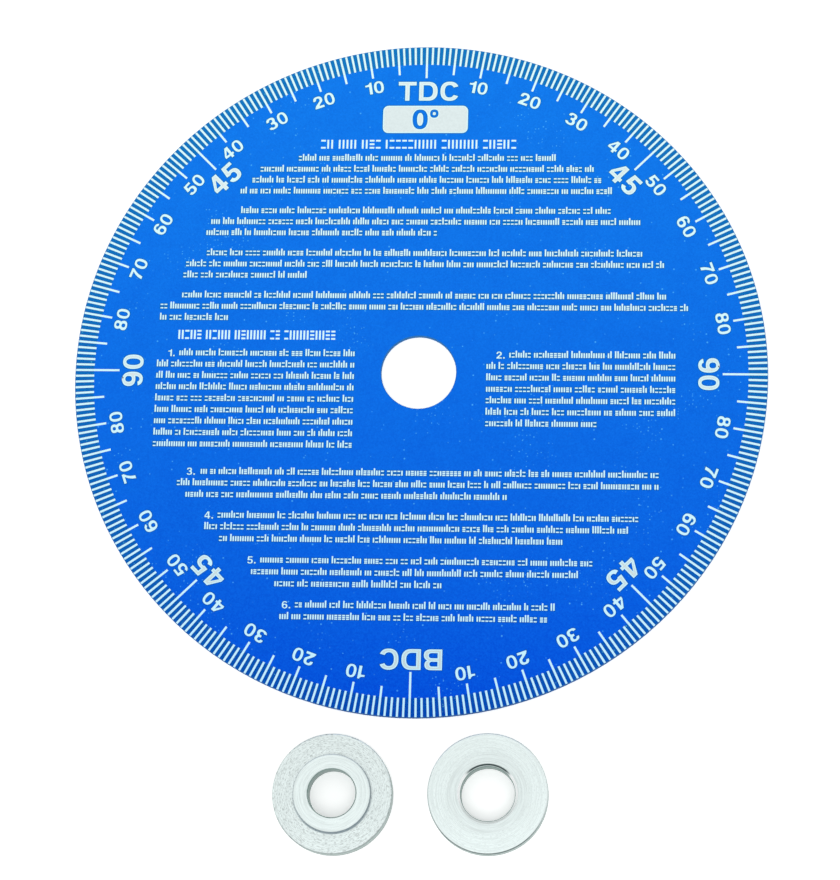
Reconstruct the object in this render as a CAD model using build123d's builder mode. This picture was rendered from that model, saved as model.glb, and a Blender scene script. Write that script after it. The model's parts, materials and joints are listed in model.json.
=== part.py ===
from build123d import *
import os

# A degree wheel for timing an engine, with the two bushings that come with it.
# The wheel lies on its back, graduated face up, with its zero mark towards +Y.
# The bushings lie below it (-Y), one on its flange and one on its boss.
# Origin: the axis of the wheel's centre hole, on the wheel's back face.

os.makedirs("parts", exist_ok=True)

INCH = 25.4

# Wheel: a round blank of sheet aluminium
wheel_diameter = 7.5 * INCH
wheel_thickness = INCH / 16
hole_diameter = 13 / 16 * INCH
hole_edge_break = 0.15

# Graduation: straight marks cut into the face, all of them running out at the rim
mark_width = 0.65
mark_depth = 0.1
rim_overrun = 1.0
degree_mark = 5.3
five_degree_mark = 8.1
zero_mark = 9.3
quarter_mark = 12.3
zero_angle = 90

# Bushings: a flange that bears on the wheel and a boss that fits its centre hole
flange_diameter = 1.25 * INCH
flange_thickness = 3 / 16 * INCH
boss_clearance = 0.07
boss_diameter = hole_diameter - 2 * boss_clearance
boss_height = wheel_thickness
flange_edge = 0.3
boss_edge = 0.25
bushing_height = flange_thickness + boss_height

small_bore = 0.5 * INCH
small_bore_edge = 0.3
large_bore = 9 / 16 * INCH
large_bore_mouth = 0.8
large_bore_edge = 0.3

# Places of the bushings' axes on the surface that everything lies on
small_bushing_x = -19.6
small_bushing_y = -116.1
large_bushing_x = 21.5
large_bushing_y = -115.5


def mark_row(length, count, start):
    """Marks of one length, evenly spaced round the face, from the rim inwards."""
    full_length = length + rim_overrun
    middle = wheel_diameter / 2 + rim_overrun - full_length / 2
    with PolarLocations(middle, count, start_angle=start):
        Rectangle(full_length, mark_width)


def rings_at(plane, part):
    """The circular edges of a part that lie in a plane, from the smallest to the largest."""
    level = part.edges().filter_by(GeomType.CIRCLE).filter_by_position(Axis.Z, plane.origin.Z, plane.origin.Z)
    return level.sort_by(SortBy.RADIUS)


with BuildPart() as wheel:
    with BuildSketch(Plane.XY):
        Circle(wheel_diameter / 2)
        Circle(hole_diameter / 2, mode=Mode.SUBTRACT)
    extrude(amount=wheel_thickness)
    chamfer(rings_at(Plane.XY.offset(wheel_thickness), wheel)[0], hole_edge_break)

    face = Plane.XY.offset(wheel_thickness)
    with BuildSketch(face):
        for degree in range(1, 5):
            mark_row(degree_mark, 72, zero_angle + degree)
        mark_row(five_degree_mark, 72, zero_angle)
        mark_row(zero_mark, 1, zero_angle)
        for eighth in range(1, 8):
            mark_row(quarter_mark, 1, zero_angle + 45 * eighth)
    extrude(amount=-mark_depth, mode=Mode.SUBTRACT)

# The bushing with the small bore lies on its flange, boss up
small_back = Plane((small_bushing_x, small_bushing_y, 0))
small_seat = small_back.offset(flange_thickness)
small_top = small_back.offset(bushing_height)

with BuildPart() as small_bushing:
    with BuildSketch(small_back):
        Circle(flange_diameter / 2)
    extrude(amount=flange_thickness)
    with BuildSketch(small_seat):
        Circle(boss_diameter / 2)
    extrude(amount=boss_height)
    with BuildSketch(small_back):
        Circle(small_bore / 2)
    extrude(amount=bushing_height, mode=Mode.SUBTRACT)
    chamfer(rings_at(small_back, small_bushing)[-1], flange_edge)
    chamfer(rings_at(small_seat, small_bushing)[-1], flange_edge)
    chamfer(rings_at(small_top, small_bushing)[-1], boss_edge)
    chamfer(rings_at(small_top, small_bushing)[0], small_bore_edge)
    chamfer(rings_at(small_back, small_bushing)[0], small_bore_edge)

# The bushing with the large bore lies on its boss, so its flange's back face is up
large_base = Plane((large_bushing_x, large_bushing_y, 0))
large_seat = large_base.offset(boss_height)
large_back = large_base.offset(bushing_height)

with BuildPart() as large_bushing:
    with BuildSketch(large_base):
        Circle(boss_diameter / 2)
    extrude(amount=boss_height)
    with BuildSketch(large_seat):
        Circle(flange_diameter / 2)
    extrude(amount=flange_thickness)
    with BuildSketch(large_base):
        Circle(large_bore / 2)
    extrude(amount=bushing_height, mode=Mode.SUBTRACT)
    chamfer(rings_at(large_back, large_bushing)[-1], flange_edge)
    chamfer(rings_at(large_seat, large_bushing)[-1], flange_edge)
    chamfer(rings_at(large_base, large_bushing)[-1], boss_edge)
    chamfer(rings_at(large_back, large_bushing)[0], large_bore_mouth)
    chamfer(rings_at(large_base, large_bushing)[0], large_bore_edge)

wheel.part.label = "degree_wheel"
small_bushing.part.label = "small_bore_bushing"
large_bushing.part.label = "large_bore_bushing"

export_step(wheel.part, "parts/degree_wheel.step")
export_step(small_bushing.part, "parts/small_bore_bushing.step")
export_step(large_bushing.part, "parts/large_bore_bushing.step")
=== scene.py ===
"""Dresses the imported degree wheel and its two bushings, and sets up their stage."""

import json
import math
import random

import bmesh
import bpy
from bpy.props import FloatProperty, FloatVectorProperty, IntProperty, PointerProperty
from mathutils import Matrix, Vector


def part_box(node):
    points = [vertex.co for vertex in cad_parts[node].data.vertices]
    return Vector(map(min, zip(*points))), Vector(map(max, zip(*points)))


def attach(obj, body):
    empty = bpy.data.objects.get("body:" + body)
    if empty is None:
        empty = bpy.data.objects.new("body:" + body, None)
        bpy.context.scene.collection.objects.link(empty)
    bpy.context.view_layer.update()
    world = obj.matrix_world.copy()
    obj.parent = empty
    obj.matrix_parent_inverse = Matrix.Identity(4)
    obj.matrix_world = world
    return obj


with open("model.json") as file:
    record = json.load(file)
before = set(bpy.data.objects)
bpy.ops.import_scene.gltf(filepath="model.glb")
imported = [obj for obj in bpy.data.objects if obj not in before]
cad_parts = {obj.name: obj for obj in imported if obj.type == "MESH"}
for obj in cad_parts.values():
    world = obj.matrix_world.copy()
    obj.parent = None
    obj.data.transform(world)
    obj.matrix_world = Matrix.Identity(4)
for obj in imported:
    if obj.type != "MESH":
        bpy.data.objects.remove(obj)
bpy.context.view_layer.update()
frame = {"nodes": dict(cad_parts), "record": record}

bl_info = {
    "name": "Degree Wheel",
    "version": (1, 0, 0),
    "blender": (4, 5, 0),
    "location": "View3D > Sidebar > Degree Wheel",
    "description": "Graduation, numerals, printed rows and finishes of a degree wheel and its bushings",
    "category": "Add Mesh",
}

MM = 0.001
DEGREES_ROUND = 360

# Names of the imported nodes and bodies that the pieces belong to
DISC = "degree_wheel"
SMALL_BUSHING = "small_bore_bushing"
LARGE_BUSHING = "large_bore_bushing"
WHEEL_BODY = "wheel"

# Sizes read from the frame
RIM_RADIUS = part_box(DISC)[1].x
FACE_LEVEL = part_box(DISC)[1].z
MOUNTS = {mount["name"]: mount for mount in frame["record"]["mounts"]}
# A bushing's boss is as high as the wheel is thick
BOSS_HEIGHT = FACE_LEVEL
# Edge breaks of the bushings
FLANGE_EDGE = 0.3 * MM
BOSS_EDGE = 0.25 * MM


def mount_radius(name):
    """The radius of a bore or a boss in the record."""
    return MOUNTS[name]["dims"]["r_mm"] * MM


# Letter shapes. Each has a width and its outlines, in units of the cap height. An outline is a list of
# points (x, y) and arcs (centre x, centre y, radius x, radius y, from degrees, to degrees).
LETTERS = {
    "0": (0.77, [
        [(0.385, 0.5, 0.385, 0.51, 0, 360)],
        [(0.385, 0.5, 0.165, 0.34, 0, 360)],
    ]),
    "1": (0.55, [
        [(0.55, 0), (0.55, 1), (0.38, 1), (0.02, 1.0, 0.36, 0.19, -8, -90), (0.02, 0.65),
         (0.31, 0.65), (0.31, 0)],
    ]),
    "2": (0.76, [
        [(0.38, 0.69, 0.36, 0.32, 188, -32), (0.45, 0.30), (0.39, 0.20), (0.75, 0.20), (0.75, 0),
         (0, 0), (0, 0.10), (0.10, 0.27), (0.30, 0.44), (0.38, 0.69, 0.13, 0.14, -52, 188)],
    ]),
    "3": (0.76, [
        [(0.37, 0.735, 0.345, 0.275, 186, -49), (0.375, 0.285, 0.385, 0.295, 54, -170),
         (0.375, 0.29, 0.145, 0.125, -170, 82), (0.29, 0.42), (0.29, 0.60),
         (0.37, 0.725, 0.115, 0.115, -78, 186)],
    ]),
    "4": (0.79, [
        [(0.38, 1), (0.66, 1), (0.66, 0.38), (0.79, 0.38), (0.79, 0.19), (0.66, 0.19), (0.66, 0),
         (0.43, 0), (0.43, 0.19), (0, 0.19), (0, 0.38)],
        [(0.43, 0.38), (0.43, 0.74), (0.18, 0.38)],
    ]),
    "5": (0.77, [
        [(0.12, 1), (0.71, 1), (0.71, 0.81), (0.31, 0.81), (0.385, 0.32, 0.385, 0.33, 100, -168),
         (0.385, 0.32, 0.145, 0.155, -168, 140), (0.03, 0.45)],
    ]),
    "6": (0.77, [
        [(0.39, 0.5, 0.39, 0.51, 28, 270), (0.385, 0.32, 0.385, 0.33, 270, 468),
         (0.39, 0.62, 0.15, 0.215, 176, 30)],
        [(0.385, 0.31, 0.145, 0.155, 0, 360)],
    ]),
    "7": (0.75, [
        [(0, 1), (0.75, 1), (0.75, 0.83), (0.58, 0.62), (0.45, 0.34), (0.38, 0), (0.13, 0),
         (0.20, 0.32), (0.33, 0.60), (0.49, 0.80), (0, 0.80)],
    ]),
    "8": (0.77, [
        [(0.385, 0.735, 0.345, 0.275, -49, 229), (0.385, 0.285, 0.385, 0.295, 126, 414)],
        [(0.385, 0.735, 0.12, 0.115, 0, 360)],
        [(0.385, 0.29, 0.145, 0.135, 0, 360)],
    ]),
    "T": (0.94, [
        [(0.35, 0), (0.35, 0.80), (0, 0.80), (0, 1), (0.94, 1), (0.94, 0.80), (0.59, 0.80), (0.59, 0)],
    ]),
    "D": (0.97, [
        [(0, 0), (0, 1), (0.49, 1), (0.49, 0.5, 0.48, 0.5, 90, -90)],
        [(0.24, 0.19), (0.24, 0.81), (0.46, 0.81), (0.46, 0.5, 0.26, 0.31, 90, -90)],
    ]),
    "C": (0.95, [
        [(0.49, 0.5, 0.49, 0.51, 26, 334), (0.48, 0.5, 0.24, 0.32, 328, 32)],
    ]),
    "B": (0.92, [
        [(0, 0), (0, 1), (0.54, 1), (0.54, 0.745, 0.34, 0.255, 90, -52),
         (0.54, 0.285, 0.38, 0.285, 62, -90)],
        [(0.24, 0.60), (0.24, 0.81), (0.50, 0.81), (0.50, 0.705, 0.12, 0.105, 90, -90)],
        [(0.24, 0.19), (0.24, 0.42), (0.51, 0.42), (0.51, 0.305, 0.15, 0.115, 90, -90)],
    ]),
    "degree": (0.42, [
        [(0.21, 0.80, 0.21, 0.21, 0, 360)],
        [(0.21, 0.80, 0.09, 0.09, 0, 360)],
    ]),
    "dot": (0.24, [
        [(0, 0), (0, 0.24), (0.24, 0.24), (0.24, 0)],
    ]),
}
# Degrees between an arc's points, and how full it is: 2 is an ellipse
ARC_STEP = 12
ARC_FULLNESS = 2.35

# Points of an outline that are nearer than this count as one
SAME_POINT = 0.0001 * MM
# The least spread that a sharp corner counts as, so that it isn't moved far
LEAST_SPREAD = 0.6

# Heights of a letter's matt core and of the painted shade halo round the print, as parts of the print's
# own height
CORE_HEIGHT = 1.2
HALO_HEIGHT = 0.4


def number_prop(name, description, value, **kind):
    """A number that a user may change, with its unit if it has one."""
    return FloatProperty(name=name, description=description, default=value, **kind)


def length_prop(name, description, millimetres):
    """A length that a user may change, given in millimetres."""
    return number_prop(name, description, millimetres * MM, unit="LENGTH")


def angle_prop(name, description, degrees):
    """An angle that a user may change, given in degrees."""
    return number_prop(name, description, math.radians(degrees), unit="ROTATION")


def colour_prop(name, description, *value):
    """A colour that a user may change."""
    return FloatVectorProperty(name=name, description=description, default=value, subtype="COLOR")


class Graduation(bpy.types.PropertyGroup):
    """Sizes of the marks round the rim."""

    mark_width: length_prop("Mark width", "Width of each mark", 0.585)
    groove_depth: length_prop("Groove depth", "Depth of the groove that a mark fills", 0.1)
    sink: length_prop("Sink", "How far a mark lies below the face", 0.01)
    rim_gap: length_prop("Rim gap", "How far short of the rim the marks end", 0.15)
    degree_mark: length_prop("Degree mark", "Length of the shortest marks", 5.3)
    five_degree_mark: length_prop("Five degree mark", "Length of every fifth mark", 8.1)
    zero_mark: length_prop("Zero mark", "Length of the mark at the top", 9.3)
    quarter_mark: length_prop("Quarter mark", "Length of the marks at 45, 90 and 180 degrees", 12.3)


class Lettering(bpy.types.PropertyGroup):
    """Sizes and places of the numerals, the two letter marks and the zero plate."""

    thickness: length_prop("Thickness", "Height of the print above the face", 0.02)
    small_cap: length_prop("Small numerals", "Height of the numerals 10 to 80", 3.5)
    large_cap: length_prop("Large numerals", "Height of 45, 90 and the letter marks", 5.6)
    small_radius: length_prop("Small radius", "Radius at the middle of the numerals 10 to 80", 84.3)
    large_radius: length_prop("Large radius", "Radius at the middle of 45 and 90", 79.2)
    top_radius: length_prop("Top radius", "Radius at the middle of the upper letter mark", 82.0)
    bottom_radius: length_prop("Bottom radius", "Radius at the middle of the lower letter mark", 79.6)
    small_width: number_prop("Small width", "Small letters' width as a part of their drawn width", 1.02)
    large_width: number_prop("Large width", "Large letters' width as a part of their drawn width", 0.955)
    trim: length_prop("Trim", "Taken off each side of a drawn stroke", 0.05)
    outline: length_prop("Outline", "Width of the bright outline of broad strokes", 0.3)
    # The borders below are widths of the painted shade halo round the print
    border: length_prop("Border", "Width of the duller film round the print", 0.24)
    fine_border: length_prop("Fine border", "Width of that film round the paragraph numbers", 0.144)
    gap: number_prop("Letter gap", "Gap between letters, as a part of their height", 0.13)
    plate_width: length_prop("Plate width", "Width of the zero plate", 24.0)
    plate_height: length_prop("Plate height", "Height of the zero plate", 8.2)
    plate_corner: length_prop("Plate corner", "Radius of the zero plate's corners", 1.6)
    plate_radius: length_prop("Plate radius", "Radius at the middle of the zero plate", 73.6)


class PrintedRows(bpy.types.PropertyGroup):
    """Sizes of the plain dashes that stand in rows on the face."""

    row_pitch: length_prop("Row pitch", "Distance from one row to the next", 3.24)
    dash_width: length_prop("Dash width", "Width of a dash's stroke", 0.40)
    short_dash: length_prop("Short dash", "Height of most upright dashes", 1.34)
    tall_dash: length_prop("Tall dash", "Height of the taller upright dashes", 1.95)
    flat_dash: length_prop("Flat dash", "Length of the flat dashes", 0.80)
    pair_pitch: length_prop("Pair pitch", "Distance between the two uprights of a pair", 0.67)
    dash_gap: length_prop("Dash gap", "Gap from one cell of dashes to the next", 0.26)
    group_gap: length_prop("Group gap", "Extra gap between groups of cells", 0.62)
    heading_height: length_prop("Heading height", "Height of the dashes in a heading", 2.6)
    heading_stroke: length_prop("Heading stroke", "Width of a heading's strokes", 0.50)
    # The border is the reach of the painted shade halo behind each group
    border: length_prop("Border", "How far the duller film reaches past a group of dashes", 0.22)
    seed: IntProperty(name="Seed", description="Seed for the dashes and their groups", default=11)


class Finishes(bpy.types.PropertyGroup):
    """Colours of the metal, painted shading and painted highlights among them, and how it is cut."""

    # Each top and bottom pair below is the lighter and the darker end of a painted shading down the wheel
    blue_top: colour_prop("Blue, top", "Anodised blue towards the zero mark", 0.0066, 0.202, 0.825)
    blue_bottom: colour_prop("Blue, bottom", "Anodised blue opposite the zero mark", 0.0005, 0.054, 0.585)
    speck: colour_prop("Speck", "What a light speck adds to the blue", 0.052, 0.23, 0.14)
    grain: colour_prop("Grain", "What the finest grain adds to the blue", 0.0005, 0.013, 0.034)
    # Painted shade on the disc's edge walls, lighter at the top
    edge_top: colour_prop("Cut edge, top", "Edges of the disc towards the zero mark", 0.008, 0.18, 0.46)
    edge_bottom: colour_prop(
        "Cut edge, bottom", "Edges of the disc opposite the zero mark", 0.004, 0.09, 0.31)
    bright_top: colour_prop(
        "Bright metal, top", "Marks and letters' outlines towards the zero mark", 0.74, 1.0, 1.0)
    bright_bottom: colour_prop(
        "Bright metal, bottom", "Marks and letters' outlines opposite the zero mark", 0.475, 0.80, 1.0)
    matt_top: colour_prop(
        "Matt metal, top", "Middle of the letters towards the zero mark", 0.76, 0.86, 0.86)
    matt_bottom: colour_prop(
        "Matt metal, bottom", "Middle of the letters opposite the zero mark", 0.46, 0.60, 0.64)
    turned: colour_prop("Turned face", "Turned faces of the bushings", 0.74, 0.825, 0.815)
    # Partly the bar's own skin and partly painted shade
    bar_skin: colour_prop("Bar skin", "Side walls of the bushings", 0.20, 0.285, 0.265)
    # Painted shade inside the bores
    bore_wall: colour_prop("Bore wall", "Inside of the bushings' bores", 0.11, 0.215, 0.19)
    # Painted highlight on the sides of the wide mouth
    mouth_side: colour_prop("Mouth's side", "Bright sides of the wide mouth of a bore", 0.97, 1.0, 1.0)
    shaded_wall: colour_prop("Boss wall", "Narrow side wall of a bushing's boss", 0.10, 0.15, 0.19)
    # Painted dark reflection on the mouth's far side and the flange's near edge
    dark_glint: colour_prop("Dark glint", "Far side of the wide mouth of a bore", 0.025, 0.05, 0.05)
    small_chatter: number_prop("Small bushing's chatter", "Depth of the chatter on its face", 0.84)
    large_chatter: number_prop("Large bushing's chatter", "Depth of the chatter on its face", 0.38)
    mouth_width: length_prop("Mouth width", "Width of the wide mouth of the large bore", 0.8)


class Stage(bpy.types.PropertyGroup):
    """Camera, floor and light."""

    lens: number_prop("Lens", "Focal length on a frame 36 mm high", 110.45, unit="CAMERA")
    aim: FloatVectorProperty(
        name="Aim", description="Point on the wheel's face at the middle of the picture",
        unit="LENGTH", default=(0.89 * MM, -19.16 * MM, FACE_LEVEL))
    distance: length_prop("Distance", "From the aim to the camera", 735.9)
    elevation: angle_prop("Elevation", "Camera's height angle", 75.474)
    azimuth: angle_prop("Azimuth", "Camera's angle from -Y towards +X", 17.275)
    roll: angle_prop("Roll", "Camera's turn about its own axis", -16.269)
    floor_colour: colour_prop("Floor", "Colour of the floor", 1.0, 1.0, 1.0)
    floor_reach: length_prop("Floor reach", "From the wheel's axis to the floor's edges", 3000.0)
    floor_drop: length_prop("Floor drop", "How far below the pieces the floor lies", 0.05)
    floor_glow: number_prop("Floor glow", "White that the camera adds to the floor and its shadows", 0.36)
    world_strength: number_prop("World strength", "Even light from all round", 0.82)
    lamp_power: number_prop("Lamp power", "Power of the main lamp", 3.0, unit="POWER")
    lamp_size: length_prop("Lamp size", "Width of the lamps", 700.0)


# The lamps: the name, the place in metres and the part of the lamp power
LAMPS = (("main_lamp", (0.1, -0.55, 1.15), 1.0), ("side_lamp", (-0.95, 0.6, 0.65), 0.4))


def add_node(tree, kind, inputs=None, **settings):
    """A node with its settings, its inputs set to values or linked from sockets."""
    node = tree.nodes.new(kind)
    for name, value in settings.items():
        setattr(node, name, value)
    for name, value in (inputs or {}).items():
        if isinstance(value, bpy.types.NodeSocket):
            tree.links.new(value, node.inputs[name])
        else:
            node.inputs[name].default_value = value
    return node


def calculate(tree, operation, *values):
    """The result of a Math node on numbers or sockets."""
    return add_node(tree, "ShaderNodeMath", dict(enumerate(values)), operation=operation).outputs[0]


def product(tree, first, *others):
    """The product of numbers or sockets."""
    for other in others:
        first = calculate(tree, "MULTIPLY", first, other)
    return first


def largest(tree, first, *others):
    """The largest of numbers or sockets."""
    for other in others:
        first = calculate(tree, "MAXIMUM", first, other)
    return first


def combine(tree, x, y, z):
    """A vector of three numbers or sockets."""
    return add_node(tree, "ShaderNodeCombineXYZ", {"X": x, "Y": y, "Z": z}).outputs["Vector"]


def new_material(name, colour, metallic, roughness):
    """A node material, its tree and its shader."""
    material = bpy.data.materials.new(name)
    material.use_nodes = True
    material.diffuse_color = (*colour, 1)
    tree = material.node_tree
    shader = tree.nodes["Principled BSDF"]
    shader.inputs["Base Color"].default_value = (*colour, 1)
    shader.inputs["Metallic"].default_value = metallic
    shader.inputs["Roughness"].default_value = roughness
    return material, tree, shader


def connect(tree, shader, sockets):
    """Links sockets to a shader's inputs, each given by its name."""
    for name, socket in sockets.items():
        tree.links.new(socket, shader.inputs[name])


def object_position(tree, centre=(0, 0, 0)):
    """The position on the piece, counted from a centre."""
    coordinates = add_node(tree, "ShaderNodeTexCoord")
    place = {"Vector": coordinates.outputs["Object"], "Location": [-c for c in centre]}
    return add_node(tree, "ShaderNodeMapping", place).outputs["Vector"]


def from_axis(tree, position):
    """The position's x, y and z, and its distance from the upright axis."""
    x, y, z = add_node(tree, "ShaderNodeSeparateXYZ", {"Vector": position}).outputs
    squares = calculate(tree, "ADD", product(tree, x, x), product(tree, y, y))
    return x, y, z, calculate(tree, "SQRT", squares)


def noise(tree, position, scale, detail):
    """Noise of a given scale, in values round a half."""
    inputs = {"Vector": position, "Scale": scale, "Detail": detail}
    return add_node(tree, "ShaderNodeTexNoise", inputs).outputs["Fac"]


def bump(tree, height, strength, distance):
    """A fine relief."""
    inputs = {"Height": height, "Strength": strength, "Distance": distance}
    return add_node(tree, "ShaderNodeBump", inputs).outputs["Normal"]


def remap(tree, value, low, high, to_low=0.0, to_high=1.0):
    """A value's place between two limits, mapped to another pair and clamped."""
    limits = {"Value": value, "From Min": low, "From Max": high, "To Min": to_low, "To Max": to_high}
    return add_node(tree, "ShaderNodeMapRange", limits).outputs["Result"]


# Half the width of the step from one finish to the next
BLUR = 0.03 * MM


def past(tree, value, limit, blur=BLUR):
    """1 where a value is past a limit and 0 short of it."""
    return remap(tree, value, limit - blur, limit + blur)


def short_of(tree, value, limit, blur=BLUR):
    """1 where a value is short of a limit and 0 past it."""
    return remap(tree, value, limit - blur, limit + blur, 1.0, 0.0)


def band(tree, value, low, high, blur=BLUR):
    """1 where a value lies between two limits and 0 outside them."""
    return product(tree, past(tree, value, low, blur), short_of(tree, value, high, blur))


def scaled(colour, factor):
    """A colour made darker or lighter."""
    return tuple(min(1.0, factor * c) for c in colour)


def mix_colours(tree, factor, first, second):
    """A mix of two colours, each a tuple or a socket."""
    node = tree.nodes.new("ShaderNodeMix")
    node.data_type = "RGBA"
    named = {"Factor": factor, "A": first, "B": second}
    sockets = [s for s in node.inputs if s.enabled]
    for socket in sockets:
        value = named[socket.name]
        if isinstance(value, bpy.types.NodeSocket):
            tree.links.new(value, socket)
        else:
            socket.default_value = value if socket.name == "Factor" else (*value, 1)
    return next(s for s in node.outputs if s.enabled)


# Below 1, so that most of the painted shading lies towards the wheel's bottom
FALLOFF_POWER = 0.6


def drift_colour(tree, position, bottom, top):
    """Painted shading: a colour that goes from darker at the wheel's bottom to lighter at its top."""
    height = add_node(tree, "ShaderNodeSeparateXYZ", {"Vector": position}).outputs["Y"]
    falloff = calculate(tree, "POWER", remap(tree, height, -RIM_RADIUS, RIM_RADIUS), FALLOFF_POWER)
    return mix_colours(tree, falloff, bottom, top)


# Red, green and blue that are left of the blue beside bare metal, where shade is painted
SHADE_BESIDE_METAL = (1.05, 0.93, 0.63)


def on_vectors(tree, operation, inputs):
    """The result of a Vector Math node."""
    return add_node(tree, "ShaderNodeVectorMath", inputs, operation=operation).outputs["Vector"]


def dulled(tree, blue):
    """The blue beside bare metal, less bright and less pure: painted shade."""
    return on_vectors(tree, "MULTIPLY", {0: blue, 1: SHADE_BESIDE_METAL})


def added(tree, colour, amount, light):
    """A colour with an amount of light added to it."""
    more = on_vectors(tree, "SCALE", {0: light, "Scale": amount})
    return on_vectors(tree, "ADD", {0: colour, 1: more})


def specks(tree, position, scale, size, share):
    """Small dots of up to a given size, one in each of a share of the cells of a given scale."""
    flat = {"Vector": position, "Scale": scale}
    cells = add_node(tree, "ShaderNodeTexVoronoi", flat, voronoi_dimensions="2D")
    pick = add_node(tree, "ShaderNodeSeparateColor", {"Color": cells.outputs["Color"]})
    reach = remap(tree, pick.outputs["Green"], 0.0, 1.0, 0.5 * size, size)
    dot = remap(tree, cells.outputs["Distance"], product(tree, reach, 0.5), reach, 1.0, 0.0)
    least = calculate(tree, "SUBTRACT", 1.0, share)
    most = calculate(tree, "ADD", least, 0.2)
    return product(tree, dot, remap(tree, pick.outputs["Red"], least, most))


# Widths of the disc's cut edges that are painted with shade
RIM_EDGE = 0.18 * MM
HOLE_EDGE = 0.13 * MM


def anodised_blue(finishes, degree_mark):
    """Blue anodised sheet: painted shading from its lighter top to its darker bottom, faint mottling,
    light specks and fine grain.
    """
    material, tree, shader = new_material("anodised_blue", finishes.blue_top, 1.0, 0.42)
    position = object_position(tree)
    blue = drift_colour(tree, position, finishes.blue_bottom, finishes.blue_top)

    mottle = remap(tree, noise(tree, position, 160.0, 3.0), 0.35, 0.65, 0.0, 0.08)
    blue = mix_colours(tree, mottle, blue, finishes.blue_bottom)
    fine = remap(tree, noise(tree, position, 2200.0, 1.0), 0.3, 0.7, -1.0, 1.0)
    blue = added(tree, blue, fine, finishes.grain)
    blue = added(tree, blue, specks(tree, position, 330.0, 0.10, 0.27), finishes.speck)
    crowded = remap(tree, noise(tree, position, 45.0, 1.0), 0.56, 0.66, 0.0, 0.35)
    blue = added(tree, blue, specks(tree, position, 1000.0, 0.24, crowded), finishes.speck)

    radius = from_axis(tree, position)[3]
    # Painted shade: the blue among the marks is duller
    among_marks = past(tree, radius, RIM_RADIUS - degree_mark + 0.1 * MM, 0.3 * MM)
    blue = mix_colours(tree, among_marks, blue, dulled(tree, blue))
    # Painted shade on the walls of the rim and the centre hole
    edges = largest(tree, past(tree, radius, RIM_RADIUS - RIM_EDGE),
                    short_of(tree, radius, mount_radius("centre_hole") + HOLE_EDGE))
    shaded_edge = drift_colour(tree, position, finishes.edge_bottom, finishes.edge_top)

    drawn = {"Vector": position, "Scale": (60.0, 1400.0, 60.0)}
    grain = noise(tree, add_node(tree, "ShaderNodeMapping", drawn).outputs["Vector"], 1.0, 4.0)
    satin = remap(tree, grain, 0.3, 0.7, 0.38, 0.46)
    connect(tree, shader, {
        "Base Color": mix_colours(tree, edges, blue, shaded_edge),
        "Metallic": remap(tree, edges, 0.0, 1.0, 1.0, 0.1),
        "Roughness": calculate(tree, "ADD", satin, product(tree, edges, 0.4)),
        "Normal": bump(tree, grain, 0.05, 0.02 * MM),
    })
    return material


def bare_metal(name, bottom, top):
    """The bare, finely etched metal of the marks and the print."""
    material, tree, shader = new_material(name, top, 0.2, 0.5)
    position = object_position(tree)
    fine = noise(tree, position, 1500.0, 2.0)
    shade = remap(tree, fine, 0.35, 0.65, 0.0, 0.10)
    # Painted shading, lighter at the top and darker at the bottom
    colour = drift_colour(tree, position, bottom, top)
    connect(tree, shader, {
        "Base Color": mix_colours(tree, shade, colour, scaled(top, 0.5)),
        "Roughness": remap(tree, fine, 0.3, 0.7, 0.45, 0.58),
    })
    return material


def film_edge(finishes):
    """The duller blue of the painted shade halo beside bare metal."""
    material, tree, shader = new_material("dull_film", finishes.blue_bottom, 1.0, 0.42)
    blue = drift_colour(tree, object_position(tree), finishes.blue_bottom, finishes.blue_top)
    connect(tree, shader, {"Base Color": dulled(tree, blue)})
    return material


def shared_material(name, maker, *values):
    """The named material, made the first time that it is asked for."""
    return bpy.data.materials.get(name) or maker(*values)


def bright_metal(finishes):
    """The metal of the marks and of the letters' outlines."""
    colours = (finishes.bright_bottom, finishes.bright_top)
    return shared_material("bright_metal", bare_metal, "bright_metal", *colours)


def matt_metal(finishes):
    """The metal in the middle of the letters."""
    colours = (finishes.matt_bottom, finishes.matt_top)
    return shared_material("matt_metal", bare_metal, "matt_metal", *colours)


def dull_film(finishes):
    """The painted shade halo round the print."""
    return shared_material("dull_film", film_edge, finishes)


# Scales of the noise on a turned face: round it for the chatter and the rings, and across the fine cuts
CHATTER_ROUND = 17.0
RINGS_ROUND = 1.5
ACROSS_CUTS = 5200.0


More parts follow.
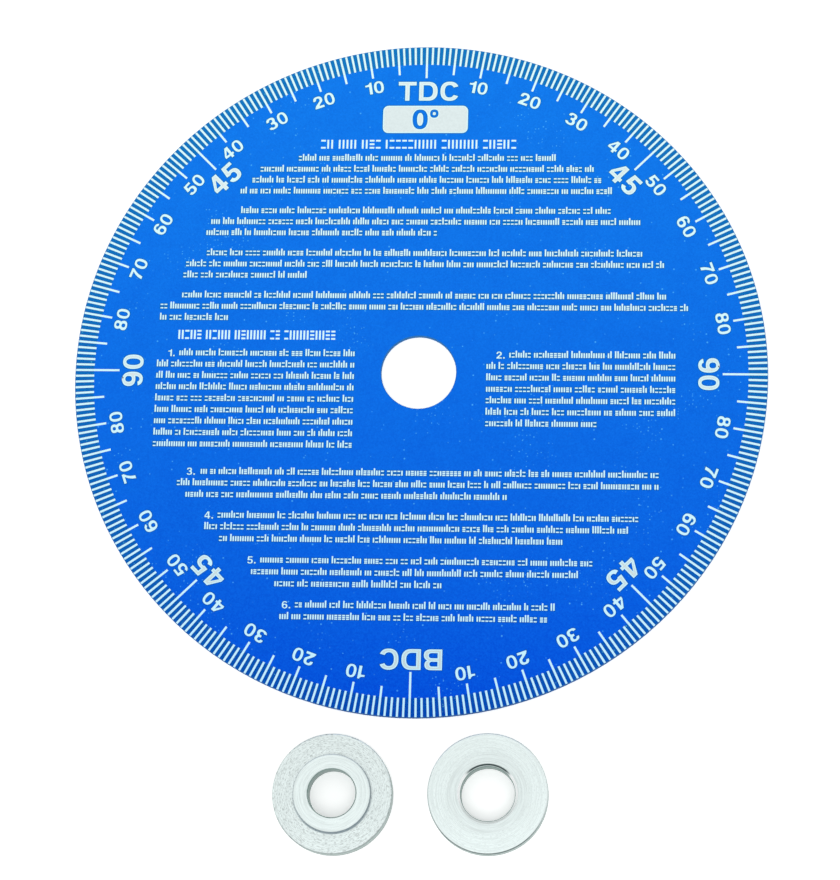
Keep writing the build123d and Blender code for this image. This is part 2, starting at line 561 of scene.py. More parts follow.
def turned_metal(name, finishes, centre, radii, levels, chatter_depth, mouth_width):
    """Turned aluminium. Its cut faces show rings and chatter; its walls and its bore are darker, partly
    with painted shade, and its edges and mouth carry painted highlights, reflections and shade.

    The radii are those of the bore, the boss and the flange, and the levels the boss's foot and top and
    the bushing's top. A bore without a wide mouth has a mouth of no width.
    """
    bore_radius, boss_radius, flange_radius = radii
    boss_foot, boss_top, top = levels
    material, tree, shader = new_material(name, finishes.turned, 1.0, 0.32)
    x, y, z, radius = from_axis(tree, object_position(tree, centre))
    round_x = calculate(tree, "DIVIDE", x, radius)
    round_y = calculate(tree, "DIVIDE", y, radius)

    def noise_round(round_scale, out_scale, up_scale):
        """Noise with its own scales round the axis, out from it and up."""
        out_and_up = calculate(tree, "ADD", product(tree, radius, out_scale), product(tree, z, up_scale))
        spot = combine(
            tree, product(tree, round_x, round_scale), product(tree, round_y, round_scale), out_and_up)
        return noise(tree, spot, 1.0, 3.0)

    # The cut faces, the boss's more finely cut
    chatter = noise_round(CHATTER_ROUND, ACROSS_CUTS, ACROSS_CUTS)
    rings = noise_round(RINGS_ROUND, ACROSS_CUTS, ACROSS_CUTS)
    on_boss = product(tree, short_of(tree, radius, boss_radius + BLUR), past(tree, z, boss_foot + BLUR))
    rough_cut = remap(tree, on_boss, 0.0, 1.0, chatter_depth, 0.18)
    pits = product(tree, remap(tree, chatter, 0.47, 0.65), rough_cut)
    shade = largest(tree, pits, remap(tree, rings, 0.42, 0.60, 0.0, 0.30))
    if mouth_width:
        # Painted shade, darker towards the wide mouth
        shade_near_bore = remap(tree, radius, bore_radius, bore_radius + 5 * MM, 0.22, 0.0)
        shade = calculate(tree, "ADD", shade, shade_near_bore)
    face = mix_colours(tree, shade, finishes.turned, scaled(finishes.turned, 0.5))

    # The side walls: partly the duller skin of the bar and partly painted shade, with a painted shadow
    # darker towards the flange's foot
    streaks = remap(tree, noise_round(14.0, 0.0, 900.0), 0.30, 0.75)
    wall_skin_and_shade = mix_colours(tree, streaks, finishes.bar_skin, scaled(finishes.bar_skin, 1.35))
    flange_foot = boss_top if mouth_width else 0.0
    # Painted shadow, darker towards the flange's foot
    low = remap(tree, z, flange_foot, flange_foot + 2 * MM, 0.65, 0.0)
    wall_skin_and_shade = mix_colours(tree, low, wall_skin_and_shade, scaled(finishes.bar_skin, 0.2))
    rim = past(tree, radius, flange_radius - 2.5 * BLUR, 0.5 * BLUR)
    # The bore's walls are painted darker still, as shade
    bore = short_of(tree, radius, bore_radius + 4 * BLUR)
    walls = largest(tree, rim, bore)

    # The broken edges, of which the flange's has a painted dark reflection on the near side
    edge_blur = 0.02 * MM
    outer_edge = past(tree, radius, flange_radius - FLANGE_EDGE, edge_blur)
    boss_edge = product(tree, on_boss, past(tree, radius, boss_radius - BOSS_EDGE, edge_blur))
    softer = largest(tree, walls, outer_edge, boss_edge)
    near_side = remap(tree, round_y, -0.75, -0.15, 0.85 if mouth_width else 0.45, 0.0)
    near_edge = product(tree, near_side, calculate(tree, "SUBTRACT", outer_edge, walls))
    foot_wall = product(tree, band(tree, radius, boss_radius - 2 * BLUR, boss_radius + 2 * BLUR),
                        band(tree, z, boss_foot, boss_top))
    layers = [(walls, wall_skin_and_shade), (bore, finishes.bore_wall), (near_edge, finishes.dark_glint),
              (foot_wall, finishes.shaded_wall)]

    if mouth_width:
        # The wide mouth has painted highlights on its sides and a painted dark reflection on its far side
        mouth_from = top - mouth_width
        on_mouth = product(
            tree, band(tree, radius, bore_radius + 0.15 * mouth_width, bore_radius + mouth_width),
            remap(tree, z, mouth_from, mouth_from + BLUR))
        softer = largest(tree, softer, on_mouth)
        bright = product(tree, on_mouth, remap(tree, round_y, -0.6, -0.1, 0.4, 1.0),
                         remap(tree, round_y, 0.60, 0.72, 1.0, 0.0))
        glint = product(
            tree, on_mouth, remap(tree, round_y, 0.66, 0.80),
            band(tree, radius, bore_radius + 0.35 * mouth_width, bore_radius + 0.85 * mouth_width))
        layers += [(bright, finishes.mouth_side), (glint, finishes.dark_glint)]
    else:
        # The boss shades the flange beside it
        beside_boss = band(tree, radius, boss_radius, boss_radius + 0.4 * MM, 2 * BLUR)
        shade = product(tree, beside_boss, remap(tree, round_y, -0.80, 0.10, 0.60, 0.05))
        layers.append((shade, finishes.shaded_wall))

    colour = face
    for mask, paint in layers:
        colour = mix_colours(tree, mask, colour, paint)
    relief = calculate(tree, "ADD", rings, product(tree, chatter, rough_cut))
    connect(tree, shader, {
        "Base Color": colour,
        "Metallic": remap(tree, softer, 0.0, 1.0, 1.0, 0.25),
        "Roughness": remap(tree, chatter, 0.3, 0.7, 0.26, 0.42),
        "Normal": bump(tree, relief, 0.5, 0.03 * MM),
    })
    return material


def finish_node(name, material):
    """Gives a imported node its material."""
    for slot in frame["nodes"][name].material_slots:
        slot.material = material


def outline_points(outline):
    """The points of a letter's outline, arcs included."""
    points = []
    for step in outline:
        if len(step) == 2:
            points.append(step)
            continue
        centre_x, centre_y, radius_x, radius_y, start, end = step
        count = max(2, round(abs(end - start) / ARC_STEP))
        closed = abs(end - start) == 360
        for index in range(count if closed else count + 1):
            turn = math.radians(start + (end - start) * index / count)
            x = math.copysign(abs(math.cos(turn)) ** (2 / ARC_FULLNESS), math.cos(turn))
            y = math.copysign(abs(math.sin(turn)) ** (2 / ARC_FULLNESS), math.sin(turn))
            points.append((centre_x + radius_x * x, centre_y + radius_y * y))
    return points


def letter_shape(letter):
    """A letter's width and the points of its outlines. The 9 is the 6 turned by half a turn."""
    turned = letter == "9"
    width, outlines = LETTERS["6" if turned else letter]
    shape = [outline_points(outline) for outline in outlines]
    if turned:
        shape = [[(width - x, 1 - y) for x, y in points] for points in shape]
    return width, shape


def word_outlines(word, cap, sizes):
    """A word's outlines, centred on the origin, each with True if it is solid and False if a hole."""
    stretch = sizes.large_width if cap == sizes.large_cap else sizes.small_width
    cap = cap + 2 * sizes.trim
    letters = [letter_shape(letter) for letter in word]
    total = sum(width for width, shape in letters) + sizes.gap * (len(letters) - 1)
    placed, pen = [], -total / 2
    for width, shape in letters:
        for number, outline in enumerate(shape):
            points = [Vector(((pen + x) * cap * stretch, (y - 0.5) * cap)) for x, y in outline]
            placed.append((points, number == 0))
        pen += width + sizes.gap
    return placed


def moved_in(points, inset, solid):
    """An outline moved into the metal that it bounds, or out of it if the inset is negative."""
    points = [point for number, point in enumerate(points)
              if (point - points[number - 1]).length > SAME_POINT]
    while len(points) > 2:
        before, after = points[-1:] + points[:-1], points[1:] + points[:1]
        area = sum(here.x * there.y - there.x * here.y for here, there in zip(points, after))
        reach = inset if (area > 0) == solid else -inset
        moved = []
        for last, here, following in zip(before, points, after):
            one, two = (here - last).normalized(), (following - here).normalized()
            along = (one + two).normalized()
            spread = max(LEAST_SPREAD, math.sqrt(max(0.0, (1 + one.dot(two)) / 2)))
            moved.append(here + Vector((-along.y, along.x)) * reach / spread)
        ahead = [(there - here).dot(after[number] - points[number]) > 0
                 for number, (here, there) in enumerate(zip(moved, moved[1:] + moved[:1]))]
        if all(ahead):
            return moved
        # The ends of the stretches that turned round are dropped, and the rest is moved again
        points = [point for number, point in enumerate(points) if ahead[number] and ahead[number - 1]]
    return []


def add_object(name, data):
    """A new object in the scene."""
    thing = bpy.data.objects.new(name, data)
    bpy.context.scene.collection.objects.link(thing)
    return thing


def plain_mesh(holder):
    """The mesh that an object shows. The object and its modifiers are removed."""
    bpy.context.view_layer.update()
    seen = holder.evaluated_get(bpy.context.evaluated_depsgraph_get())
    mesh = bpy.data.meshes.new_from_object(seen)
    holder.modifiers.clear()
    bpy.data.objects.remove(holder)
    return mesh


def flat_print(outlines, thickness, inset):
    """A closed mesh of flat outlines with a thickness, standing on level 0, its strokes thinned."""
    curve = bpy.data.curves.new("outline", "CURVE")
    curve.dimensions = "2D"
    curve.fill_mode = "BOTH"
    curve.extrude = thickness / 2
    for points, solid in outlines:
        outline = moved_in(points, inset, solid)
        if not outline:
            continue
        spline = curve.splines.new("POLY")
        spline.points.add(len(outline) - 1)
        for point, (x, y) in zip(spline.points, outline):
            point.co = (x, y, 0, 1)
        spline.use_cyclic_u = True
    mesh = plain_mesh(add_object("outline", curve))
    bpy.data.curves.remove(curve)
    mesh.transform(Matrix.Translation((0, 0, thickness / 2)))
    return mesh


def new_piece(name, mesh, material):
    """A piece of the wheel, riding with it."""
    mesh.name = name
    mesh.materials.clear()
    mesh.materials.append(material)
    piece = add_object(name, mesh)
    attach(piece, WHEEL_BODY)
    return piece


def print_layer(name, letters, thickness, inset, material):
    """One piece made of flat letters, each given as its outlines and its place."""
    joined = bmesh.new()
    for outlines, place in letters:
        mesh = flat_print(outlines, thickness, inset)
        mesh.transform(place)
        joined.from_mesh(mesh)
        bpy.data.meshes.remove(mesh)
    bmesh.ops.remove_doubles(joined, verts=joined.verts, dist=0.001 * MM)
    bmesh.ops.recalc_face_normals(joined, faces=joined.faces)
    mesh = bpy.data.meshes.new(name)
    joined.to_mesh(mesh)
    joined.free()
    return new_piece(name, mesh, material)


def print_letters(name, letters, sizes, finishes, border, with_core=False):
    """Letters of bare metal, those with broad strokes with a matt core, and the painted shade halo round
    them.
    """
    print_layer(name, letters, sizes.thickness, sizes.trim, bright_metal(finishes))
    if with_core:
        inset = sizes.trim + sizes.outline
        height = CORE_HEIGHT * sizes.thickness
        print_layer(name + "_core", letters, height, inset, matt_metal(finishes))
    height = HALO_HEIGHT * sizes.thickness
    halo = print_layer(name + "_edge", letters, height, sizes.trim - border, dull_film(finishes))


def on_face(angle, radius):
    """The place on the face at an angle clockwise from the zero mark, with its top facing outwards."""
    return Matrix.Rotation(-angle, 4, "Z") @ Matrix.Translation((0, radius, FACE_LEVEL))


def run_tree(name, tree, mesh, values):
    """The plain mesh that a Geometry Nodes tree makes of a mesh with the named input values."""
    holder = add_object(name, mesh)
    modifier = holder.modifiers.new(name, "NODES")
    modifier.node_group = tree
    for item in tree.interface.items_tree:
        if item.in_out == "INPUT" and item.name in values:
            modifier[item.identifier] = values[item.name]
    return plain_mesh(holder)


def new_tree(name, inputs):
    """A Geometry Nodes tree with named inputs, the sockets that give them, and its output node."""
    tree = bpy.data.node_groups.new(name, "GeometryNodeTree")
    for label, kind in inputs:
        tree.interface.new_socket(label, in_out="INPUT", socket_type=kind)
    tree.interface.new_socket("Geometry", in_out="OUTPUT", socket_type="NodeSocketGeometry")
    return tree, tree.nodes.new("NodeGroupInput").outputs, tree.nodes.new("NodeGroupOutput")


def set_out_bars(tree, points, placing, material, output):
    """Ends a tree with a bar on each point, turned and scaled as given, all of one material."""
    bar = add_node(tree, "GeometryNodeMeshCube").outputs["Mesh"]
    inputs = {"Points": points, "Instance": bar, **placing}
    bars = add_node(tree, "GeometryNodeInstanceOnPoints", inputs).outputs["Instances"]
    real = add_node(tree, "GeometryNodeRealizeInstances", {"Geometry": bars}).outputs["Geometry"]
    done = {"Geometry": real, "Material": material}
    finished = add_node(tree, "GeometryNodeSetMaterial", done).outputs["Geometry"]
    tree.links.new(finished, output.inputs["Geometry"])


def graduation_tree():
    """Marks all round the rim, whose lengths follow the degree that each stands at."""
    names = ("Rim radius", "Level", "Mark width", "Mark height", "Degree mark", "Five degree mark",
             "Zero mark", "Quarter mark")
    inputs = [(name, "NodeSocketFloat") for name in names] + [("Material", "NodeSocketMaterial")]
    tree, given, output = new_tree("graduation", inputs)
    index = add_node(tree, "GeometryNodeInputIndex").outputs["Index"]
    angle = product(tree, index, math.radians(1))

    length = given["Degree mark"]
    for step, mark in ((5, "Five degree mark"), (45, "Quarter mark"), (DEGREES_ROUND, "Zero mark")):
        rest = calculate(tree, "MODULO", index, float(step))
        choice = {"Switch": calculate(tree, "COMPARE", rest, 0.0, 0.1), "False": length,
                  "True": given[mark]}
        length = add_node(tree, "GeometryNodeSwitch", choice, input_type="FLOAT").outputs[0]

    middle = calculate(tree, "SUBTRACT", given["Rim radius"], product(tree, length, 0.5))
    x = product(tree, middle, calculate(tree, "SINE", angle))
    y = product(tree, middle, calculate(tree, "COSINE", angle))
    line = add_node(tree, "GeometryNodeMeshLine", {"Count": DEGREES_ROUND}).outputs["Mesh"]
    placed = {"Geometry": line, "Position": combine(tree, x, y, given["Level"])}
    points = add_node(tree, "GeometryNodeSetPosition", placed).outputs["Geometry"]
    placing = {"Rotation": combine(tree, 0.0, 0.0, product(tree, angle, -1.0)),
               "Scale": combine(tree, given["Mark width"], length, given["Mark height"])}
    set_out_bars(tree, points, placing, given["Material"], output)
    return tree


def dash_tree():
    """A dash on every point of the mesh, as wide and as tall as the point says."""
    inputs = [("Geometry", "NodeSocketGeometry"), ("Thickness", "NodeSocketFloat"),
              ("Material", "NodeSocketMaterial")]
    tree, given, output = new_tree("printed_dashes", inputs)
    width, height = (
        add_node(tree, "GeometryNodeInputNamedAttribute", {"Name": name}, data_type="FLOAT")
        .outputs["Attribute"] for name in ("dash_width", "dash_height"))
    placing = {"Scale": combine(tree, width, height, given["Thickness"])}
    set_out_bars(tree, given["Geometry"], placing, given["Material"], output)
    return tree


def bar_piece(name, tree, bars, thickness, material):
    """A piece of flat bars on the face, each given as (middle x, middle y, width, height)."""
    level = FACE_LEVEL + thickness / 2
    points = bpy.data.meshes.new("bar_points")
    points.from_pydata([(x, y, level) for x, y, width, height in bars], [], [])
    for label, column in (("dash_width", 2), ("dash_height", 3)):
        attribute = points.attributes.new(label, "FLOAT", "POINT")
        attribute.data.foreach_set("value", [bar[column] for bar in bars])
    mesh = run_tree(name, tree, points, {"Thickness": thickness, "Material": material})
    return new_piece(name, mesh, material)


# Rows of the print, in millimetres from the wheel's centre: the first row's height, then the left and
# right end of each row below it.
PARAGRAPHS = [
    (62.0, [(-35.3, 36.7), (-46.0, 47.3), (-48.2, 49.4), (-51.4, 52.4)]),
    (46.5, [(-51.0, 52.1), (-59.3, 60.3), (-60.5, 4.0)]),
    (34.1, [(-60.1, 60.9), (-65.8, 66.9), (-66.4, -31.9)]),
    (21.8, [(-66.5, 67.5), (-72.4, 73.5), (-72.4, -53.4)]),
    (5.1, [(-66.5, -17.8)] + 8 * [(-72.6, -17.8)]),
    (5.0, [(24.8, 70.1)] + 5 * [(18.6, 70.1)] + [(18.6, 48.8)]),
    (-28.5, [(-59.0, 65.7), (-65.4, 65.7), (-62.9, 24.8)]),
    (-40.7, [(-53.8, 60.3), (-57.3, 57.6), (-53.1, 40.0)]),
    (-53.0, [(-41.6, 48.1), (-44.0, 44.3), (-37.5, 7.7)]),
    (-65.2, [(-31.7, 38.2), (-35.8, 36.2)]),
]
# Each heading's middle, left and right end, and how much wider than a row it is spread
HEADINGS = [(66.2, -29.2, 25.6, 1.65), (10.4, -67.0, -23.3, 1.4)]
# The plain numbers at the start of the numbered paragraphs: the middle of each, in millimetres
LIST_NUMBERS = {"1": (-68.7, 5.1), "2": (22.4, 5.0), "3": (-61.7, -28.5), "4": (-56.2, -40.7),
                "5": (-44.0, -53.0), "6": (-34.1, -65.2)}
# A draw below the first number gives one upright, below the second a pair, and else flat dashes
ONE_BELOW = 0.26
PAIR_BELOW = 0.64
# A flat dash's stroke as a part of an upright's
FLAT_STROKE = 0.85
# The limits of cells in a row's first group, and the numbers of cells in the groups after it
FIRST_GROUP = (2, 7)
GROUPS = (2, 3, 3, 4, 5, 5, 6, 7, 8, 9)


def dash_cell(sizes, dice):
    """One cell of a row: its width, and its dashes as (left, level from 0 to 1, width, height)."""
    stroke, tall = sizes.dash_width, sizes.tall_dash
    kind = dice.random()
    if kind < ONE_BELOW:
        return stroke, [(0, 0, stroke, dice.choice((sizes.short_dash, tall)))]
    if kind < PAIR_BELOW:
        first = dice.choice((sizes.short_dash, sizes.short_dash, tall))
        pair = [(0, 0, stroke, first), (sizes.pair_pitch, 0, stroke, sizes.short_dash)]
        return sizes.pair_pitch + stroke, pair
    levels = dice.choice(((0, 1), (0, 1), (0, 0.5, 1)))
    return sizes.flat_dash, [(0, level, sizes.flat_dash, FLAT_STROKE * stroke) for level in levels]


def dash_row(length, sizes, dice):
    """The dashes that fill a row of a given length, and the ends of the groups that they stand in."""
    dashes, groups = [], []
    start = pen = 0.0
    left_in_group = dice.randint(*FIRST_GROUP)
    while True:
        width, cell = dash_cell(sizes, dice)
        if pen + width > length:
            break
        dashes.extend((pen + left, level, wide, high) for left, level, wide, high in cell)
        end = pen + width
        pen = end + sizes.dash_gap
        left_in_group -= 1
        if left_in_group == 0:
            groups.append((start, end))
            pen += sizes.group_gap
            start = pen
            left_in_group = dice.choice(GROUPS)
    if start < end:
        groups.append((start, end))
    fit = length / end
    return ([(left * fit, level, wide, high) for left, level, wide, high in dashes],
            [(left * fit, right * fit) for left, right in groups])


def laid_out(row, left, middle, height, spread=1.0):
    """The dashes of a row of a given height in their places: (middle x, middle y, width, height)."""
    foot = middle - height / 2
    return [(left + spread * start + wide / 2, foot + level * (height - high) + high / 2, wide, high)
            for start, level, wide, high in row]


def printed_rows(sizes):
    """Every dash, and the painted shade halo behind every group: (middle x, middle y, width, height)."""
    dice = random.Random(sizes.seed)
    dashes, backs = [], []

    for top, rows in PARAGRAPHS:
        for number, (left, right) in enumerate(rows):
            middle = top * MM - number * sizes.row_pitch
            row, groups = dash_row((right - left) * MM, sizes, dice)
            dashes += laid_out(row, left * MM, middle, sizes.short_dash)
            backs += [(left * MM + (start + end) / 2, middle,
                       end - start + 2 * sizes.border, sizes.short_dash + 2 * sizes.border)
                      for start, end in groups]

    upright = (sizes.heading_stroke, sizes.heading_height)
    for middle, left, right, spread in HEADINGS:
        row, groups = dash_row((right - left) * MM / spread, sizes, dice)
        row = [(start, level, *((spread * wide, sizes.heading_stroke) if wide > high else upright))
               for start, level, wide, high in row]
        dashes += laid_out(row, left * MM, middle * MM, sizes.heading_height, spread)
    return dashes, backs


class DEGREE_WHEEL_OT_disc(bpy.types.Operator):
    """Finishes the sheet of the wheel in anodised blue"""

    bl_idname = "degree_wheel.disc"
    bl_label = "Finish the disc"

    def execute(self, context):
        values = (context.scene.wheel_finishes, context.scene.wheel_graduation.degree_mark)
        finish_node(DISC, shared_material("anodised_blue", anodised_blue, *values))
        return {"FINISHED"}


class DEGREE_WHEEL_OT_graduation(bpy.types.Operator):
    """Fills the grooves round the rim with bare metal marks"""

    bl_idname = "degree_wheel.graduation"
    bl_label = "Add the graduation"

    def execute(self, context):
        sizes = context.scene.wheel_graduation
        height = sizes.groove_depth - sizes.sink
        end_gaps = sizes.rim_gap + sizes.sink
        values = {
            "Rim radius": RIM_RADIUS - sizes.rim_gap,
            "Level": FACE_LEVEL - sizes.sink - height / 2,
            "Mark width": sizes.mark_width,
            "Mark height": height,
            "Degree mark": sizes.degree_mark - end_gaps,
            "Five degree mark": sizes.five_degree_mark - end_gaps,
            "Zero mark": sizes.zero_mark - end_gaps,
            "Quarter mark": sizes.quarter_mark - end_gaps,
            "Material": bright_metal(context.scene.wheel_finishes),
        }
        blank = bpy.data.meshes.new("blank")
        mesh = run_tree("graduation", graduation_tree(), blank, values)
        new_piece("graduation_marks", mesh, values["Material"])
        return {"FINISHED"}


# How far clockwise of its mark the print has some of the words, in millimetres, by degree
OFF_CENTRE = {0: 0.65, 20: 0.4, 30: 0.3, 70: 0.3, 80: 0.3, 100: 0.3, 120: -0.3, 130: -0.4, 135: -0.7,
              150: 0.4, 160: 0.3, 220: -0.4, 225: -0.5, 230: -0.6, 240: -0.5, 260: -0.3, 290: 0.5,
              300: 0.3, 330: 0.3}


def word_at(degree, radius, word, cap, sizes):
    """A word's outlines and its place at a degree of the scale."""
    aside = Matrix.Translation((OFF_CENTRE.get(degree, 0.0) * MM, 0, 0))
    return word_outlines(word, cap, sizes), on_face(math.radians(degree), radius) @ aside


class DEGREE_WHEEL_OT_numerals(bpy.types.Operator):
    """Prints the numerals of the scale, their tops facing outwards"""

    bl_idname = "degree_wheel.numerals"
    bl_label = "Add the numerals"

    def execute(self, context):
        sizes, finishes = context.scene.wheel_lettering, context.scene.wheel_finishes
        small, large = [], []
        for degree in range(0, DEGREES_ROUND, 5):
            from_pole = degree % 180
            value = min(from_pole, 180 - from_pole)
            if value in (45, 90):
                large.append(word_at(degree, sizes.large_radius, str(value), sizes.large_cap, sizes))
            elif value and value % 10 == 0:
                small.append(word_at(degree, sizes.small_radius, str(value), sizes.small_cap, sizes))
        print_letters("small_numerals", small, sizes, finishes, sizes.border)
        print_letters("large_numerals", large, sizes, finishes, sizes.border, with_core=True)
        return {"FINISHED"}


class DEGREE_WHEEL_OT_dead_centres(bpy.types.Operator):
    """Prints the letter marks at the two ends of the stroke"""

    bl_idname = "degree_wheel.dead_centres"
    bl_label = "Add the dead centre marks"

    def execute(self, context):
        sizes, finishes = context.scene.wheel_lettering, context.scene.wheel_finishes
        letters = [word_at(0, sizes.top_radius, "TDC", sizes.large_cap, sizes),
                   word_at(180, sizes.bottom_radius, "BDC", sizes.large_cap, sizes)]
        print_letters("dead_centre_letters", letters, sizes, finishes, sizes.border, with_core=True)
        return {"FINISHED"}


class DEGREE_WHEEL_OT_printed_rows(bpy.types.Operator):
    """Prints rows of plain dashes, headings and paragraph numbers"""

    bl_idname = "degree_wheel.printed_rows"
    bl_label = "Add the printed rows"

    def execute(self, context):
        rows, sizes = context.scene.wheel_rows, context.scene.wheel_lettering
        finishes = context.scene.wheel_finishes
        tree = dash_tree()
        dashes, groups = printed_rows(rows)
        bar_piece("printed_dashes", tree, dashes, sizes.thickness, bright_metal(finishes))
        height = HALO_HEIGHT * sizes.thickness
        halo = bar_piece("printed_dashes_edge", tree, groups, height, dull_film(finishes))

        numbers = []
        for digit, (x, y) in LIST_NUMBERS.items():
            place = Matrix.Translation((x * MM, y * MM, FACE_LEVEL))
            numbers.append((word_outlines([digit, "dot"], rows.tall_dash, sizes), place))
        print_letters("paragraph_numbers", numbers, sizes, finishes, sizes.fine_border)
        return {"FINISHED"}


# Steps round each corner of the zero plate
CORNER_STEPS = 6


def plate_outline(sizes):
    """The outline of the zero plate, its corners rounded."""
    corner = sizes.plate_corner
    points = []
    for side_x, side_y, start in ((1, 1, 0), (-1, 1, 90), (-1, -1, 180), (1, -1, 270)):
        for step in range(CORNER_STEPS + 1):
            turn = math.radians(start + 90 * step / CORNER_STEPS)
            points.append(Vector((side_x * (sizes.plate_width / 2 - corner) + corner * math.cos(turn),
                                  side_y * (sizes.plate_height / 2 - corner) + corner * math.sin(turn))))
    return points


class DEGREE_WHEEL_OT_zero_plate(bpy.types.Operator):
    """Prints the plain plate with the zero of the scale below its mark"""

    bl_idname = "degree_wheel.zero_plate"
    bl_label = "Add the zero plate"

    def execute(self, context):
        sizes, finishes = context.scene.wheel_lettering, context.scene.wheel_finishes
        cut_out = word_outlines(["0", "degree"], sizes.large_cap, sizes)
        outlines = [(plate_outline(sizes), True)] + [(points, not solid) for points, solid in cut_out]
        letters = [(outlines, on_face(0.0, sizes.plate_radius))]
        print_letters("zero_plate", letters, sizes, finishes, sizes.border, with_core=True)
        return {"FINISHED"}


class DEGREE_WHEEL_OT_bushings(bpy.types.Operator):
    """Finishes the two turned bushings"""

    bl_idname = "degree_wheel.bushings"
    bl_label = "Finish the bushings"

    def execute(self, context):
        finishes = context.scene.wheel_finishes
        for node, bushing, chatter_depth, mouth_width in (
                (SMALL_BUSHING, "small_bushing", finishes.small_chatter, 0.0),
                (LARGE_BUSHING, "large_bushing", finishes.large_chatter, finishes.mouth_width)):
            low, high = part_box(node)
            boss = MOUNTS[bushing + "_boss"]
            x, y = boss["pos_m"][:2]
            boss_foot = high.z - BOSS_HEIGHT if boss["axis"][2] > 0 else low.z
            levels = (boss_foot, boss_foot + BOSS_HEIGHT, high.z)
            radii = (mount_radius(bushing + "_bore"), mount_radius(bushing + "_boss"),
                     (high.x - low.x) / 2)
            finish_node(node, turned_metal(
                node + "_metal", finishes, (x, y, 0), radii, levels, chatter_depth, mouth_width))
        return {"FINISHED"}


def seen_directly(tree):
    """1 for what the camera, a reflection or a clear body shows, and 0 for the light that falls."""
    path = add_node(tree, "ShaderNodeLightPath").outputs
    return largest(tree, path["Is Camera Ray"], path["Is Glossy Ray"], path["Is Transmission Ray"])


def floor_material(stage):
    """Pale matt floor with a trace of texture."""
    material, tree, shader = new_material("pale_floor", stage.floor_colour, 0.0, 0.9)
    shade = remap(tree, noise(tree, object_position(tree), 4.0, 2.0), 0.3, 0.7, 0.0, 0.01)
    dimmer = scaled(stage.floor_colour, 0.99)
    shader.inputs["Specular IOR Level"].default_value = 0.0
    shader.inputs["Emission Color"].default_value = (1, 1, 1, 1)
    connect(tree, shader, {
        "Base Color": mix_colours(tree, shade, stage.floor_colour, dimmer),
        "Emission Strength": product(tree, seen_directly(tree), stage.floor_glow),
    })
    return material


def even_world(strength):
    """Even light all round, seen as plain white by the camera and in reflections."""
    world = bpy.data.worlds.new("even_world")
    world.use_nodes = True
    tree = world.node_tree
    background = tree.nodes["Background"]
    background.inputs["Color"].default_value = (1, 1, 1, 1)
    connect(tree, background, {
        "Strength": remap(tree, seen_directly(tree), 0.0, 1.0, strength, 1.0)})
    bpy.context.scene.world = world


def add_lamp(name, place, size, power):
    """A square soft lamp that faces the wheel."""
    lamp = bpy.data.lights.new(name, "AREA")
    lamp.shape = "SQUARE"
    lamp.size = size
    lamp.energy = power
    holder = add_object(name, lamp)
    holder.location = place
    holder.rotation_euler = (-Vector(place)).to_track_quat("-Z", "Y").to_euler()


def add_camera(stage):
    """The camera, at its distance and angles from its aim."""
    camera = bpy.data.cameras.new("camera")
    camera.sensor_fit = "VERTICAL"
    camera.sensor_height = 36.0
    camera.lens = stage.lens
    camera.clip_start = 0.01
    camera.clip_end = 20.0
    level_reach = stage.distance * math.cos(stage.elevation)
    offset = Vector((level_reach * math.sin(stage.azimuth), -level_reach * math.cos(stage.azimuth),
                     stage.distance * math.sin(stage.elevation)))
    holder = add_object("camera", camera)
    facing = (-offset).to_track_quat("-Z", "Y").to_matrix().to_4x4()
    turned = facing @ Matrix.Rotation(stage.roll, 4, "Z")
    holder.matrix_world = Matrix.Translation(Vector(stage.aim) + offset) @ turned
    bpy.context.scene.camera = holder


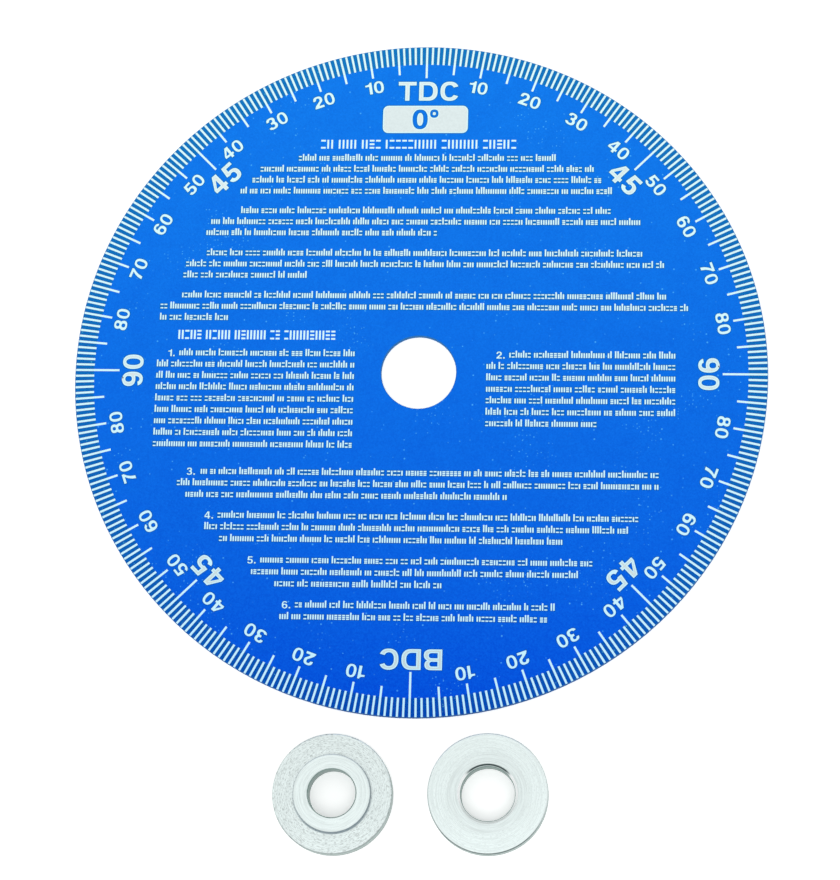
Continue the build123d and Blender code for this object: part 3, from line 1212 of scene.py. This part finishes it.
class DEGREE_WHEEL_OT_stage(bpy.types.Operator):
    """Sets up the floor, the light and the camera"""

    bl_idname = "degree_wheel.stage"
    bl_label = "Set up the stage"

    def execute(self, context):
        stage = context.scene.wheel_stage
        mesh = bpy.data.meshes.new("floor")
        corners = [(x * stage.floor_reach, y * stage.floor_reach, -stage.floor_drop)
                   for x, y in ((-1, -1), (1, -1), (1, 1), (-1, 1))]
        mesh.from_pydata(corners, [], [(0, 1, 2, 3)])
        mesh.materials.append(floor_material(stage))
        floor = add_object("floor", mesh)

        even_world(stage.world_strength)
        for name, place, part in LAMPS:
            add_lamp(name, place, stage.lamp_size, part * stage.lamp_power)
        add_camera(stage)
        context.scene.view_settings.view_transform = "Standard"
        return {"FINISHED"}


class DEGREE_WHEEL_PT_panel(bpy.types.Panel):
    """Lists the steps that dress the wheel"""

    bl_label = "Degree Wheel"
    bl_idname = "DEGREE_WHEEL_PT_panel"
    bl_space_type = "VIEW_3D"
    bl_region_type = "UI"
    bl_category = "Degree Wheel"

    def draw(self, context):
        for operator in OPERATORS:
            self.layout.operator(operator.bl_idname)


SETTINGS = {"wheel_graduation": Graduation, "wheel_lettering": Lettering, "wheel_rows": PrintedRows,
            "wheel_finishes": Finishes, "wheel_stage": Stage}
OPERATORS = (DEGREE_WHEEL_OT_disc, DEGREE_WHEEL_OT_graduation, DEGREE_WHEEL_OT_numerals,
             DEGREE_WHEEL_OT_dead_centres, DEGREE_WHEEL_OT_printed_rows, DEGREE_WHEEL_OT_zero_plate,
             DEGREE_WHEEL_OT_bushings, DEGREE_WHEEL_OT_stage)


def register():
    """Registers the settings, the operators and the panel."""
    for name, group in SETTINGS.items():
        bpy.utils.register_class(group)
        setattr(bpy.types.Scene, name, PointerProperty(type=group))
    for operator in OPERATORS:
        bpy.utils.register_class(operator)
    bpy.utils.register_class(DEGREE_WHEEL_PT_panel)


def unregister():
    """Takes them away again."""
    bpy.utils.unregister_class(DEGREE_WHEEL_PT_panel)
    for operator in reversed(OPERATORS):
        bpy.utils.unregister_class(operator)
    for name, group in reversed(SETTINGS.items()):
        delattr(bpy.types.Scene, name)
        bpy.utils.unregister_class(group)


def main():
    """Dresses the wheel and its bushings."""
    register()
    bpy.ops.degree_wheel.disc()
    bpy.ops.degree_wheel.graduation()
    bpy.ops.degree_wheel.numerals()
    bpy.ops.degree_wheel.dead_centres()
    bpy.ops.degree_wheel.printed_rows()
    bpy.ops.degree_wheel.zero_plate()
    bpy.ops.degree_wheel.bushings()
    bpy.ops.degree_wheel.stage()


if __name__ == "__main__":
    main()
